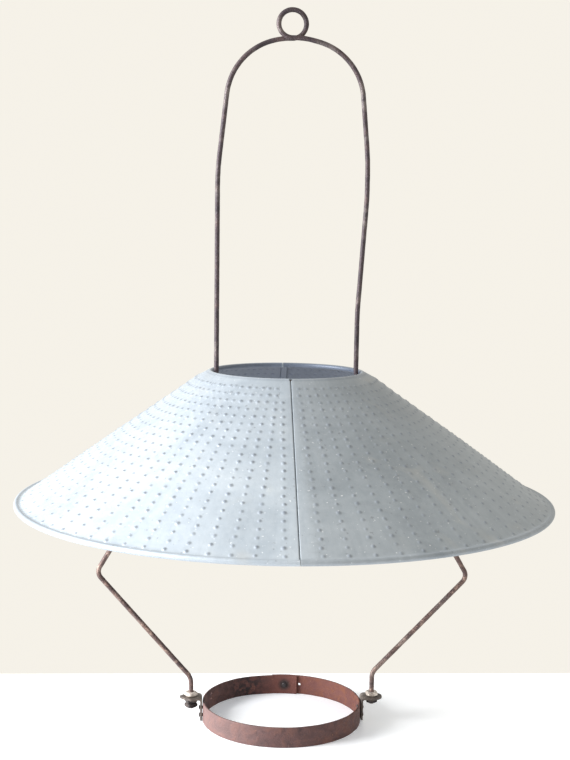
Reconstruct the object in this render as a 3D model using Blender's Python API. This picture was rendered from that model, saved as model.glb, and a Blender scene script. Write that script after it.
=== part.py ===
"""Hanging frame of an oil lamp: a bent-wire harp with an eye at its top, a
conical tin shade of two lock-seamed halves, and a riveted strap ring that
holds the lamp's fount.  It stands on its ring.

Every size below is in millimetres and every angle in degrees; mesh_object
turns millimetres into metres.  +Z is up, the harp lies in the XZ plane, the
shade's two seams are at -Y (front) and +Y (back), and the origin is the
centre of the ring's lower edge.
"""

import math

import bmesh
import bpy
from mathutils import Matrix, Vector

MM = 0.001
GAP = 0.3  # running gap between pieces that touch

# Fount ring: a strap bent round, with its ends lapped and riveted
RING_RADIUS = 61.1
RING_HEIGHT = 15.4
STRAP = 1.5
RING_STEP = 5.0
LAP_START = 75.0  # inner end of the strap
LAP_TURN = 380.0  # from the inner end once round to the outer end
LAP_RAMP = 30.0  # stretch over which the strap steps back out to full radius
LAP_RIVET_ANGLE = 85.0
LAP_RIVET_HEIGHT = 7.7
SPARE_HOLES = ((155.8, 11.8, 1.0), (155.8, 7.8, 0.9), (73.2, 8.0, 1.1))

# Harp wire
WIRE_RADIUS = 1.9
EYE_CENTRE = (1.0, 527.9)
EYE_RADIUS = 10.2
CROSSING_OFFSET = 2.05  # how far each arm stands off the plane where they cross
CROSSING_FADE = 45.0
WIRE_END_X = 70.0
LEFT_BENDS = (  # x, z and bend radius, from the lug up to the eye
    (-WIRE_END_X, 33.0, 12.0),
    (-142.7, 115.7, 7.5),
    (-52.7, 268.0, 18.0),
    (-53.1, 420.0, 200.0),
    (-43.7, 504.9, 46.0),
    (-8.5, 517.7, 50.0),
)
RIGHT_BENDS = (
    (WIRE_END_X, 37.0, 10.0),
    (142.5, 113.0, 7.5),
    (52.7, 268.0, 18.0),
    (52.9, 316.0, 200.0),
    (58.5, 402.0, 200.0),
    (58.5, 430.0, 200.0),
    (51.5, 506.5, 44.5),
    (11.0, 517.7, 60.0),
)

# Shade: a cone of sheet, its neck rolled inwards and its lower edge under itself
SHEET = 0.5
CONE_HIGH = (62.3, 270.7)  # radius and height of two points on the outer face
CONE_LOW = (203.0, 171.4)
CONE_TOP_RADIUS = 68.0  # the straight sheet runs between these radii
CONE_BASE_RADIUS = 198.0
NECK_ROLL = (57.4, 270.2)
NECK_ROLL_RADIUS = 2.0
RIM_ROLL = (200.9, 173.4)
RIM_ROLL_RADIUS = 2.1
ROLL_END_CLEARANCE = 0.8
ROLL_SEGMENTS = 8
HOOK_RELIEF = 0.4  # the folded edges stop this far short of the rolled ones
HOOK_ROWS = (ROLL_SEGMENTS + 2, ROLL_SEGMENTS + 3)  # rows of points they run between
NECK_WIRE_RADIUS = 1.2
RIM_WIRE_RADIUS = 1.3
SHADE_STEP = 6.0

# Lock seam between the two halves: level outside, four layers of sheet inside
SEAM_LAYER_GAP = 0.2
SEAM_WIDTH_AT_AXIS = 2.85
SEAM_WIDENING = 0.0186  # extra width for each unit of radius
SEAM_TUCK = 2.0  # each folded edge ends this far short of the other's fold

# Lugs and their fasteners
LUG_THICKNESS = 1.5
LUG_FOOT = 0.8
LUG_BEND_INNER = 1.2
EAR_TOP = 18.5
LEFT_EAR = ((0.0, 7.0), (2.0, 7.5), (6.0, 8.6), (10.0, 6.2), (14.6, 0.8))
RIGHT_EAR_REACH = 14.0
EAR_HALF_WIDTH = 7.2
LUG_RIVET_HEIGHTS = {"low": 3.4, "high": 9.4}
RIVET_SHANK = 1.2
RIVET_HEAD = 1.9
RIVET_HEAD_HEIGHT = 0.9
NUT_WIDTH = 7.9
NUT_HEIGHT = 3.2
NUT_CORNER_CUT = 0.7
TOP_NUT_TURN = {"left": 40.0, "right": 12.0}
BOTTOM_NUT_TURN = {"left": 20.0, "right": 5.0}
JAM_NUT_TURN = 34.0
WIRE_PROUD = 1.2  # wire that shows below the lowest nut

SIDES = {"left": -1, "right": 1}


# Materials ------------------------------------------------------------------


def principled(name, colour, metallic, roughness):
    made = bpy.data.materials.new(name)
    made.use_nodes = True
    shader = made.node_tree.nodes["Principled BSDF"]
    shader.inputs["Base Color"].default_value = (*colour, 1.0)
    shader.inputs["Metallic"].default_value = metallic
    shader.inputs["Roughness"].default_value = roughness
    made.diffuse_color = (*colour, 1.0)
    return made


def make_materials():
    return {
        "tin": principled("galvanised_tin", (0.50, 0.54, 0.58), 0.8, 0.45),
        "wire": principled("browned_wire", (0.16, 0.11, 0.10), 0.6, 0.6),
        "strap": principled("rusty_strap", (0.24, 0.10, 0.07), 0.3, 0.8),
        "lug": principled("old_iron", (0.23, 0.18, 0.15), 0.5, 0.6),
        "nut": principled("worn_nut", (0.36, 0.27, 0.21), 0.7, 0.45),
    }


# Mesh helpers ---------------------------------------------------------------


def finish_mesh(name, built, material, sharp_angle):
    bmesh.ops.recalc_face_normals(built, faces=built.faces)
    mesh = bpy.data.meshes.new(name)
    built.to_mesh(mesh)
    built.free()
    if material:
        mesh.materials.append(material)
    mesh.shade_smooth()
    mesh.set_sharp_from_angle(angle=math.radians(sharp_angle))
    made = bpy.data.objects.new(name, mesh)
    bpy.context.collection.objects.link(made)
    return made


def mesh_object(name, points, faces, material, sharp_angle=35.0):
    """Points in millimetres, and faces as lists of their numbers."""
    built = bmesh.new()
    corners = [built.verts.new(Vector(point) * MM) for point in points]
    for face in faces:
        built.faces.new([corners[number] for number in face])
    return finish_mesh(name, built, material, sharp_angle)


def tube_faces(loops, size, closed):
    """Quads between successive loops of the same size, with caps if not closed."""
    faces = []
    for loop in range(loops if closed else loops - 1):
        first = loop * size
        second = (loop + 1) % loops * size
        for corner in range(size):
            after = (corner + 1) % size
            faces.append([first + corner, first + after, second + after, second + corner])
    if not closed:
        faces.append(list(range(size)))
        faces.append([(loops - 1) * size + corner for corner in reversed(range(size))])
    return faces


def ring_of_wire(name, centre, wire_radius, material):
    """A full hoop of round wire; centre is its radius and height."""
    sides = 8
    turns = round(360 / SHADE_STEP)
    points = []
    for turn in range(turns):
        around = math.radians(turn * SHADE_STEP)
        for side in range(sides):
            roll = 2 * math.pi * side / sides
            reach = centre[0] + wire_radius * math.cos(roll)
            height = centre[1] + wire_radius * math.sin(roll)
            points.append((reach * math.cos(around), reach * math.sin(around), height))
    return mesh_object(name, points, tube_faces(turns, sides, True), material, 60.0)


def add_cylinder(built, matrix, radius, length, sides=16):
    """A cylinder along the matrix's Z, centred on it, in millimetres."""
    bmesh.ops.create_cone(
        built,
        cap_ends=True,
        segments=sides,
        radius1=radius * MM,
        radius2=radius * MM,
        depth=length * MM,
        matrix=matrix,
    )


def drill(target, cylinders):
    """Cuts cylinders, given as (matrix, radius, length), out of target."""
    built = bmesh.new()
    for matrix, radius, length in cylinders:
        add_cylinder(built, matrix, radius, length)
    cutter = finish_mesh(target.name + "_cutter", built, None, 35.0)
    cutter.hide_render = True
    cutter.display_type = "WIRE"
    cut = target.modifiers.new("holes", "BOOLEAN")
    cut.operation = "DIFFERENCE"
    cut.solver = "EXACT"
    cut.object = cutter


def radial_matrix(angle, reach, height):
    """Its Z axis points straight out from the lamp's axis at this angle."""
    turn = Matrix.Rotation(math.radians(angle), 4, "Z")
    place = Matrix.Translation(Vector((reach, 0, height)) * MM)
    return turn @ place @ Matrix.Rotation(math.radians(90), 4, "Y")


# Fount ring -----------------------------------------------------------------


def strap_step_in(angle_from_end):
    """How far the strap lies inside its full radius, near its inner end."""
    lap = LAP_TURN - 360
    depth = STRAP + GAP
    done = (angle_from_end - lap - 2) / LAP_RAMP
    done = min(1.0, max(0.0, done))
    return depth * (1 - done * done * (3 - 2 * done))


def make_fount_ring(material):
    points = []
    stations = round(LAP_TURN / RING_STEP) + 1
    for station in range(stations):
        passed = station * RING_STEP
        angle = math.radians(LAP_START + passed)
        outer = RING_RADIUS - strap_step_in(passed)
        for reach, height in (
            (outer, 0),
            (outer, RING_HEIGHT),
            (outer - STRAP, RING_HEIGHT),
            (outer - STRAP, 0),
        ):
            points.append((reach * math.cos(angle), reach * math.sin(angle), height))
    ring = mesh_object("fount_ring", points, tube_faces(stations, 4, False), material)
    middle = RING_RADIUS - STRAP / 2
    holes = [
        (radial_matrix(angle, middle, height), radius, 3 * STRAP)
        for angle, height, radius in SPARE_HOLES
    ]
    lap_middle = RING_RADIUS - STRAP - GAP / 2
    lap_hole = radial_matrix(LAP_RIVET_ANGLE, lap_middle, LAP_RIVET_HEIGHT)
    holes.append((lap_hole, RIVET_SHANK + GAP, 4 * STRAP))
    for angle in (0, 180):
        for height in LUG_RIVET_HEIGHTS.values():
            hole = radial_matrix(angle, middle, height)
            holes.append((hole, RIVET_SHANK + GAP, 3 * STRAP))
    drill(ring, holes)


# Rivets ---------------------------------------------------------------------


def make_rivet(name, angle, height, inner_face, outer_face, material):
    """A rivet through layers between two faces, along a radius of the ring."""
    sides = 12
    low = inner_face - GAP
    high = outer_face + GAP
    rings = (
        (0.55 * RIVET_HEAD, low - 0.9 * RIVET_HEAD_HEIGHT),
        (RIVET_HEAD, low),
        (RIVET_SHANK, low),
        (RIVET_SHANK, high),
        (RIVET_HEAD, high),
        (0.9 * RIVET_HEAD, high + 0.45 * RIVET_HEAD_HEIGHT),
        (0.5 * RIVET_HEAD, high + RIVET_HEAD_HEIGHT),
    )
    points = []
    for radius, reach in rings:
        for side in range(sides):
            roll = 2 * math.pi * side / sides
            points.append((reach, radius * math.cos(roll), radius * math.sin(roll)))
    rivet = mesh_object(name, points, tube_faces(len(rings), sides, False), material)
    rivet.rotation_euler.z = math.radians(angle)
    rivet.location.z = height * MM


# Lugs -----------------------------------------------------------------------


def lug_stations(side):
    """Centreline and half-width of the L-shaped strap, from its foot to its tip."""
    leg = RING_RADIUS + GAP + LUG_THICKNESS / 2
    bend = LUG_BEND_INNER + LUG_THICKNESS / 2
    ear = EAR_TOP - LUG_THICKNESS / 2
    stations = [
        (leg, LUG_FOOT, 6.2, 0.0),
        (leg, LUG_FOOT + 1.0, 7.0, 0.0),
        (leg, ear - bend, 7.0, 0.0),
    ]
    for turned in (22.5, 45, 67.5):
        tilt = math.radians(turned)
        stations.append(
            (leg + bend * (1 - math.cos(tilt)), ear - bend * (1 - math.sin(tilt)), 7.0, tilt)
        )
    ear_start = leg + bend
    flat = math.radians(90)
    if side == "left":
        for along, half_width in LEFT_EAR:
            stations.append((ear_start + along, ear, half_width, flat))
    else:
        round_from = RIGHT_EAR_REACH - EAR_HALF_WIDTH
        stations.append((ear_start, ear, EAR_HALF_WIDTH, flat))
        stations.append((ear_start + round_from, ear, EAR_HALF_WIDTH, flat))
        for turned in (20, 40, 60, 78):
            swing = math.radians(turned)
            reach = round_from + EAR_HALF_WIDTH * math.sin(swing)
            half_width = EAR_HALF_WIDTH * math.cos(swing)
            stations.append((ear_start + reach, ear, half_width, flat))
    return stations


def make_lug(side, material):
    half = LUG_THICKNESS / 2
    points = []
    stations = lug_stations(side)
    for reach, height, half_width, tilt in stations:
        across = Vector((math.cos(tilt), 0, -math.sin(tilt)))
        middle = Vector((reach, 0, height))
        for face, edge in ((-1, -1), (-1, 1), (1, 1), (1, -1)):
            points.append(middle + across * half * face + Vector((0, half_width * edge, 0)))
    lug = mesh_object("lug_" + side, points, tube_faces(len(stations), 4, False), material)
    wire_hole = Matrix.Translation(Vector((WIRE_END_X, 0, EAR_TOP)) * MM)
    holes = [(wire_hole, WIRE_RADIUS + GAP + 0.1, 6 * LUG_THICKNESS)]
    for height in LUG_RIVET_HEIGHTS.values():
        hole = radial_matrix(0, RING_RADIUS + GAP + half, height)
        holes.append((hole, RIVET_SHANK + GAP, 2 * LUG_THICKNESS))
    if side == "left":
        turn = Matrix.Rotation(math.pi, 4, "Z")
        lug.matrix_world = turn
        holes = [(turn @ matrix, radius, length) for matrix, radius, length in holes]
    drill(lug, holes)


# Nuts -----------------------------------------------------------------------


def make_nut(name, side, base, turn, material):
    """A square nut on the wire's end, its lower face at base."""
    half = NUT_WIDTH / 2
    cut = half - NUT_CORNER_CUT
    chamfer = 0.4
    points = []
    for height, shrink in (
        (0, chamfer),
        (chamfer, 0),
        (NUT_HEIGHT - chamfer, 0),
        (NUT_HEIGHT, chamfer),
    ):
        for x, y in (
            (half, -cut),
            (half, cut),
            (cut, half),
            (-cut, half),
            (-half, cut),
            (-half, -cut),
            (-cut, -half),
            (cut, -half),
        ):
            scale = 1 - shrink / half
            points.append((x * scale, y * scale, height))
    nut = mesh_object(name, points, tube_faces(4, 8, False), material, 25.0)
    place = Matrix.Translation(Vector((SIDES[side] * WIRE_END_X, 0, base)) * MM)
    nut.matrix_world = place @ Matrix.Rotation(math.radians(turn), 4, "Z")
    bore = place @ Matrix.Translation(Vector((0, 0, NUT_HEIGHT / 2)) * MM)
    drill(nut, [(bore, WIRE_RADIUS + GAP, 2 * NUT_HEIGHT)])


def bottom_nut_base():
    return EAR_TOP - LUG_THICKNESS - GAP - NUT_HEIGHT


def jam_nut_base():
    return bottom_nut_base() - GAP - NUT_HEIGHT


def make_nuts(material):
    for side in SIDES:
        top = EAR_TOP + GAP
        make_nut(f"nut_{side}_top", side, top, TOP_NUT_TURN[side], material)
        turn = BOTTOM_NUT_TURN[side]
        make_nut(f"nut_{side}_bottom", side, bottom_nut_base(), turn, material)
    make_nut("nut_left_jam", "left", jam_nut_base(), JAM_NUT_TURN, material)


# Harp -----------------------------------------------------------------------


def rounded_path(start, bends, end, step=9.0):
    """Straight runs from start to end, with an arc in place of each bend."""
    path = [Vector(start)]
    corners = [Vector(start)] + [Vector(bend[:2]) for bend in bends] + [Vector(end)]
    for number, bend in enumerate(bends, start=1):
        corner = corners[number]
        back = (corners[number - 1] - corner).normalized()
        ahead = (corners[number + 1] - corner).normalized()
        turn = math.pi - back.angle(ahead)
        tangent = bend[2] * math.tan(turn / 2)
        to_centre = (back + ahead).normalized()
        centre = corner + to_centre * (bend[2] / math.cos(turn / 2))
        first = corner + back * tangent - centre
        last = corner + ahead * tangent - centre
        sweep = first.angle_signed(last)
        pieces = max(1, math.ceil(math.degrees(turn) / step))
        for piece in range(pieces + 1):
            spin = Matrix.Rotation(-sweep * piece / pieces, 2)
            path.append(centre + spin @ first)
    path.append(Vector(end))
    return path


def on_eye(angle):
    return Vector(EYE_CENTRE) + EYE_RADIUS * Vector((math.cos(angle), math.sin(angle)))


def stand_off(point):
    """How far an arm stands out of the harp's plane, near where the arms cross."""
    fade = max(0.0, 1 - abs(point.x - EYE_CENTRE[0]) / CROSSING_FADE)
    return CROSSING_OFFSET * min(1.0, 1.25 * fade)


def wire_end_heights():
    left = jam_nut_base() - WIRE_PROUD
    right = bottom_nut_base() - WIRE_PROUD
    return left, right


def harp_route():
    """The wire from its left end, up, once round the eye and down to the right."""
    left_end, right_end = wire_end_heights()
    bottom = -math.pi / 2
    left = rounded_path((-WIRE_END_X, left_end), LEFT_BENDS, on_eye(bottom))
    right = rounded_path((WIRE_END_X, right_end), RIGHT_BENDS, on_eye(bottom))
    route = [(point.x, stand_off(point), point.y) for point in left]
    turns = 32
    for turn in range(1, turns):
        share = turn / turns
        point = on_eye(bottom + 2 * math.pi * share)
        route.append((point.x, CROSSING_OFFSET * (1 - 2 * share), point.y))
    route.extend((point.x, -stand_off(point), point.y) for point in reversed(right))
    return route


def make_harp(material):
    route = harp_route()
    curve = bpy.data.curves.new("harp_wire", "CURVE")
    curve.dimensions = "3D"
    curve.bevel_depth = WIRE_RADIUS * MM
    curve.bevel_resolution = 3
    curve.use_fill_caps = True
    spline = curve.splines.new("POLY")
    spline.points.add(len(route) - 1)
    for point, place in zip(spline.points, route):
        point.co = (*(Vector(place) * MM), 1.0)
    curve.materials.append(material)
    harp = bpy.data.objects.new("harp_wire", curve)
    bpy.context.collection.objects.link(harp)


# Shade ----------------------------------------------------------------------


def cone_direction():
    return (Vector(CONE_LOW) - Vector(CONE_HIGH)).normalized()


def cone_normal():
    along = cone_direction()
    return Vector((-along.y, along.x))


def on_cone(radius):
    """A point on the sheet's middle surface, as radius and height."""
    along = cone_direction()
    start = Vector(CONE_HIGH) - cone_normal() * SHEET / 2
    return start + along * ((radius - start.x) / along.x)


def roll_arc(point, centre, outer_radius, side):
    """Middle line of a rolled edge, from where the sheet from point meets it."""
    radius = outer_radius - SHEET / 2
    away = point - Vector(centre)
    touch = math.atan2(away.y, away.x) + side * math.acos(radius / away.length)
    lost = math.acos((radius - SHEET - ROLL_END_CLEARANCE) / radius)
    sweep = side * (2 * math.pi - lost - math.radians(18))
    arc = []
    for piece in range(ROLL_SEGMENTS + 1):
        angle = touch + sweep * piece / ROLL_SEGMENTS
        arc.append(Vector(centre) + radius * Vector((math.cos(angle), math.sin(angle))))
    return arc


def sheet_line():
    """Middle line of the sheet's section, from the neck's curl to the rim's."""
    top = on_cone(CONE_TOP_RADIUS - HOOK_RELIEF)
    base = on_cone(CONE_BASE_RADIUS + HOOK_RELIEF)
    neck = roll_arc(top, NECK_ROLL, NECK_ROLL_RADIUS, 1)
    rim = roll_arc(base, RIM_ROLL, RIM_ROLL_RADIUS, -1)
    hooked = [on_cone(CONE_TOP_RADIUS), on_cone(CONE_BASE_RADIUS)]
    return [*reversed(neck), top, *hooked, base, *rim]


def offset_line(line, distance):
    """The same line moved sideways, outwards for a positive distance."""
    moved = []
    for number, point in enumerate(line):
        before = line[max(0, number - 1)]
        after = line[min(len(line) - 1, number + 1)]
        first = (point - before).normalized() if number else (after - point).normalized()
        second = (after - point).normalized() if number < len(line) - 1 else first
        normal = Vector((-(first + second).y, (first + second).x)).normalized()
        stretch = 1 / math.cos(first.angle(second) / 2)
        moved.append(point + normal * distance * stretch)
    return moved


def turned(point, angle):
    around = math.radians(angle)
    return Vector((point.x * math.cos(around), point.x * math.sin(around), point.y))


def seam_width(radius):
    return SEAM_WIDTH_AT_AXIS + SEAM_WIDENING * radius


def short_of(point, angle, distance):
    """A point on the facet that ends at angle, this far before its end."""
    end = turned(point, angle)
    start = turned(point, angle - SHADE_STEP)
    return end + (start - end).normalized() * distance


def level_hook(width):
    """Section of the edge that stays level, then folds down and back."""
    second = -2 * (SHEET + SEAM_LAYER_GAP)
    third = second - SHEET
    return (
        (-SHEET, -SHEET),
        (-SHEET, second),
        (-width + SEAM_TUCK, second),
        (-width + SEAM_TUCK, third),
        (0.0, third),
        (0.0, 0.0),
    )


def under_hook(width):
    """Section of the edge that steps down, runs under the other and folds back."""
    second = -SHEET - SEAM_LAYER_GAP
    fourth = 3 * second
    step = GAP + SHEET
    return (
        (step, fourth - SHEET),
        (-width, fourth - SHEET),
        (-width, second),
        (-SHEET - GAP, second),
        (-SHEET - GAP, second - SHEET),
        (-width + SHEET, second - SHEET),
        (-width + SHEET, fourth),
        (GAP, fourth),
        (GAP, 0.0),
    )


def hook_points(section, outer, angle):
    """The hook's corners in space, on the facet that ends at angle."""
    end = turned(outer, angle)
    start = turned(outer, angle - SHADE_STEP)
    across = (end - start).normalized()
    middle = math.radians(angle - SHADE_STEP / 2)
    normal = cone_normal()
    up = Vector((normal.x * math.cos(middle), normal.x * math.sin(middle), normal.y))
    return [end + across * along + up * rise for along, rise in section]


def panel_grid(line):
    """Rows of points, one row for each point of the sheet's section."""
    rows = []
    for number, point in enumerate(line):
        hooked = number in HOOK_ROWS
        row = [short_of(point, 90, -GAP - SHEET if hooked else -GAP)]
        for step in range(1, round(180 / SHADE_STEP)):
            row.append(turned(point, 90 + step * SHADE_STEP))
        row.append(short_of(point, 270, seam_width(point.x) if hooked else 0.0))
        rows.append(row)
    return rows


def add_hook(points, faces, section, outer_line, angle, roots):
    """Joins a folded edge to the sheet's edge; roots are (outer, inner) numbers."""
    ends = []
    for row, (outer_root, inner_root) in zip(HOOK_ROWS, roots):
        outer = outer_line[row]
        first = len(points)
        points.extend(hook_points(section(seam_width(outer.x)), outer, angle))
        ends.append([inner_root, *range(first, len(points)), outer_root])
    faces.append(ends[0])
    faces.append(list(reversed(ends[1])))
    for number in range(len(ends[0]) - 1):
        faces.append([ends[0][number], ends[1][number], ends[1][number + 1], ends[0][number + 1]])


def make_panels(material):
    """Two equal halves; each has its under hook at one end, its level at the other."""
    line = sheet_line()
    outer_line = offset_line(line, SHEET / 2)
    outer = panel_grid(outer_line)
    inner = panel_grid(offset_line(line, -SHEET / 2))
    rows = len(outer)
    columns = len(outer[0])
    points = [point for row in outer for point in row]
    points += [point for row in inner for point in row]
    back = rows * columns

    def place(row, column):
        return row * columns + column

    faces = []
    for row in range(rows - 1):
        for column in range(columns - 1):
            quad = [
                place(row, column),
                place(row, column + 1),
                place(row + 1, column + 1),
                place(row + 1, column),
            ]
            faces.append(quad)
            faces.append([back + corner for corner in reversed(quad)])
    for row in (0, rows - 1):
        for column in range(columns - 1):
            one, two = place(row, column), place(row, column + 1)
            faces.append([one, two, back + two, back + one])
    for column in (0, columns - 1):
        for row in range(rows - 1):
            if row != HOOK_ROWS[0]:
                one, two = place(row, column), place(row + 1, column)
                faces.append([one, two, back + two, back + one])
    for column, section, angle in ((0, under_hook, 90), (columns - 1, level_hook, 270)):
        roots = [(place(row, column), back + place(row, column)) for row in HOOK_ROWS]
        add_hook(points, faces, section, outer_line, angle, roots)
    left = mesh_object("shade_panel_left", points, faces, material)
    right = bpy.data.objects.new("shade_panel_right", left.data)
    right.rotation_euler.z = math.pi
    bpy.context.collection.objects.link(right)


# The whole frame ------------------------------------------------------------


def main():
    for old in list(bpy.data.objects):
        bpy.data.objects.remove(old)
    materials = make_materials()
    make_harp(materials["wire"])
    make_panels(materials["tin"])
    ring_of_wire("neck_wire", NECK_ROLL, NECK_WIRE_RADIUS, materials["wire"])
    ring_of_wire("rim_wire", RIM_ROLL, RIM_WIRE_RADIUS, materials["wire"])
    make_fount_ring(materials["strap"])
    for side, direction in SIDES.items():
        make_lug(side, materials["lug"])
        angle = 0 if direction > 0 else 180
        outer_face = RING_RADIUS + GAP + LUG_THICKNESS
        for level, height in LUG_RIVET_HEIGHTS.items():
            name = f"lug_{side}_rivet_{level}"
            inner_face = RING_RADIUS - STRAP
            make_rivet(name, angle, height, inner_face, outer_face, materials["nut"])
    lap_inner_face = RING_RADIUS - 2 * STRAP - GAP
    make_rivet(
        "lap_rivet",
        LAP_RIVET_ANGLE,
        LAP_RIVET_HEIGHT,
        lap_inner_face,
        RING_RADIUS,
        materials["nut"],
    )
    make_nuts(materials["nut"])


main()
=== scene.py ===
"""Looks of the hanging lamp frame: pricked tin shade, rusty harp, ring and lugs.

Sizes are in millimetres and angles in degrees unless a name says otherwise;
mesh_object turns millimetres into metres.  +Z is up, the harp lies in the XZ
plane and the shade's two seams are at -Y (front) and +Y (back).
"""

import math
import random

import bmesh
import bpy
import numpy as np
from mathutils import Matrix, Vector, noise


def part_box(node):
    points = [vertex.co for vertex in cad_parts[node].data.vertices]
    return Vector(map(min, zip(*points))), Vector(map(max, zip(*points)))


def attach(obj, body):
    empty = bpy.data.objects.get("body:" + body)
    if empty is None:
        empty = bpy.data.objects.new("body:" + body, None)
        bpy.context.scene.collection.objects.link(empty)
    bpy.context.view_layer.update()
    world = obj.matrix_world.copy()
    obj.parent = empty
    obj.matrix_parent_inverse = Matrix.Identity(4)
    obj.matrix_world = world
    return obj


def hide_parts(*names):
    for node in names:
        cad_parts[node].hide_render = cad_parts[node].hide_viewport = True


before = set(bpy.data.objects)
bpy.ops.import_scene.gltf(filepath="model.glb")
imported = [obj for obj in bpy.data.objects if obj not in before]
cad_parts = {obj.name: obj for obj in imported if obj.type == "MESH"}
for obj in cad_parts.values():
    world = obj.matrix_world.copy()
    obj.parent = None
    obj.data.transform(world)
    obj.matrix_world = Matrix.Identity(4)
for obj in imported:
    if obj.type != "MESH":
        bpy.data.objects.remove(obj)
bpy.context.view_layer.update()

MM = 0.001


def millimetres(node):
    """Lowest and highest corners of a CAD node."""
    low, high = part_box(node)
    return low / MM, high / MM


# Sizes that the pieces share, read from the frame ---------------------------

ring_high = millimetres("fount_ring")[1]
neck_wire_low, neck_wire_high = millimetres("neck_wire")
rim_wire_low, rim_wire_high = millimetres("rim_wire")
shade_low, shade_high = millimetres("shade_panel_left")

SHEET = 0.5
NECK_WIRE_RADIUS = (neck_wire_high.z - neck_wire_low.z) / 2
RIM_WIRE_RADIUS = (rim_wire_high.z - rim_wire_low.z) / 2
NECK_ROLL = Vector((neck_wire_high.x - NECK_WIRE_RADIUS, (neck_wire_high.z + neck_wire_low.z) / 2))
RIM_ROLL = Vector((rim_wire_high.x - RIM_WIRE_RADIUS, (rim_wire_high.z + rim_wire_low.z) / 2))
NECK_ROLL_RADIUS = shade_high.z - NECK_ROLL.y - 0.02
RIM_ROLL_RADIUS = RIM_ROLL.y - shade_low.z - 0.02
CONE_HIGH = Vector((62.3, 270.7))  # radius and height of two points on the cone's outer face
CONE_LOW = Vector((203.0, 171.4))
CONE_TOP_RADIUS = 67.6  # the straight sheet runs between these radii
CONE_BASE_RADIUS = 198.4
CONE_TOP_BEND = 60.0  # bend radii where the straight sheet meets its rolled edges
CONE_BASE_BEND = 2.5
NECK_ROLL_SWEEP = 305.0  # how far round each rolled edge goes
RIM_ROLL_SWEEP = -270.0
ROLL_TIGHTENING = 0.12

# Rows and columns of raised dots
DOT_ROWS = 22
FIRST_ROW_RADIUS = 68.4
ROW_SPACING = 7.45  # along the slope
LEFT_COLUMNS = 39  # and one more that runs beside the front seam
LEFT_COLUMN_STEP = 4.37
LEFT_LAST_TURN = 171.8  # from the back seam to the last of the even columns
SEAM_COLUMN_GAP = 4.3  # from the front seam to that one, at the axis
SEAM_COLUMN_WIDENING = 0.027
RIGHT_COLUMNS = 35
RIGHT_COLUMN_STEP = 5.0
RIGHT_FIRST_TURN = 4.25  # from the front seam
DOT_LEVELS = (  # radius and height
    (2.5, 0.0),
    (1.85, 0.03),
    (1.35, 0.20),
    (0.92, 0.44),
    (0.46, 0.61),
)
DOT_TOP = 0.66
RIGHT_DOT_HEIGHT = 0.8  # the right half's dots are struck more lightly
PLAIN_CELLS = 2  # rings of dots missing beside the left half's front seam
CELL_SIDE = 3  # edge pieces on each side of a dot's cell
DOT_JITTER = 0.42  # how far the hand-struck dots stray
DOT_SIZES = (0.86, 1.12)
DOT_HEIGHTS = (0.6, 1.05)
# Painted shade in the crease under the neck's rolled edge, and on the rim's rolled edge
NECK_PAINTED_SHADE = 0.3
RIM_PAINTED_SHADE = (0.0, 0.26, 0.22, 0.14)  # on the first rows of the rolled edge, then all the rest

# Lock seam: level outside, its folds inside
SEAM_WIDTH_AT_AXIS = 2.85
SEAM_WIDENING = 0.0186
SEAM_PITCH = 0.68  # from the middle of one layer to the middle of the next
LEVEL_EDGE = -0.95  # where the half that stays level starts its fold
UNDER_EDGE = 1.05  # where the other half starts to step down
LEVEL_TUCK = 2.2  # each folded edge stops this far short
UNDER_TUCK = 1.3
UNDER_STEP = ((0.72, -0.1), (0.57, -0.4), (0.52, -1.0))  # across and rise, as it steps down
CURL_END = 0.15  # where the rolled edges stop, beside the seam's line

# Harp
WIRE_RADIUS = 1.9
EYE_CENTRE = (1.0, 527.9)
EYE_RADIUS = 10.2
CROSSING_OFFSET = 2.05
CROSSING_FADE = 45.0
WIRE_END_X = 70.0
LEFT_BENDS = (  # x, z and bend radius, from the lug up to the eye
    (-WIRE_END_X, 33.0, 12.0),
    (-142.7, 115.7, 7.5),
    (-52.7, 268.0, 18.0),
    (-53.1, 420.0, 200.0),
    (-43.7, 504.9, 46.0),
    (-8.5, 517.7, 50.0),
)
RIGHT_BENDS = (
    (WIRE_END_X, 37.0, 10.0),
    (142.5, 113.0, 7.5),
    (52.7, 268.0, 18.0),
    (52.9, 316.0, 200.0),
    (58.5, 402.0, 200.0),
    (58.5, 430.0, 200.0),
    (51.5, 506.5, 44.5),
    (11.0, 517.7, 60.0),
)
RIGHT_END_RISE = 3.5  # the right end's stack of nuts is shorter
THREAD_PITCH = 0.8
THREAD_DEPTH = 0.16
THREAD_TOP = 29.0

# Fount ring
RING_RADIUS = ring_high.x
RING_HEIGHT = ring_high.z
STRAP = 1.5
GAP = 0.3
LAP_START = 75.0
LAP_TURN = 380.0
LAP_RAMP = 30.0
LAP_RIVET_ANGLE = 85.0
LAP_RIVET_HEIGHT = 7.7
STRAP_STATION = 1.5  # degrees between the strap's sections
SPARE_HOLES = ((155.8, 11.8, 1.0), (155.8, 7.8, 0.9), (73.2, 8.0, 1.1))  # angle, height, radius
LUG_RIVET_HEIGHTS = {"low": 3.4, "high": 9.4}
RIVET_SHANK = 1.2
RIVET_HEAD = 1.9
RIVET_HEAD_HEIGHT = 0.9
NUT_WIDTH = 7.9
NUT_CORNER_CUT = 0.7
NUT_CHAMFER = 0.15
NUT_TURNS = {
    "nut_left_top": 40.0,
    "nut_left_bottom": 20.0,
    "nut_left_jam": 34.0,
    "nut_right_top": 12.0,
    "nut_right_bottom": 5.0,
}


# Node helpers ---------------------------------------------------------------


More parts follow.
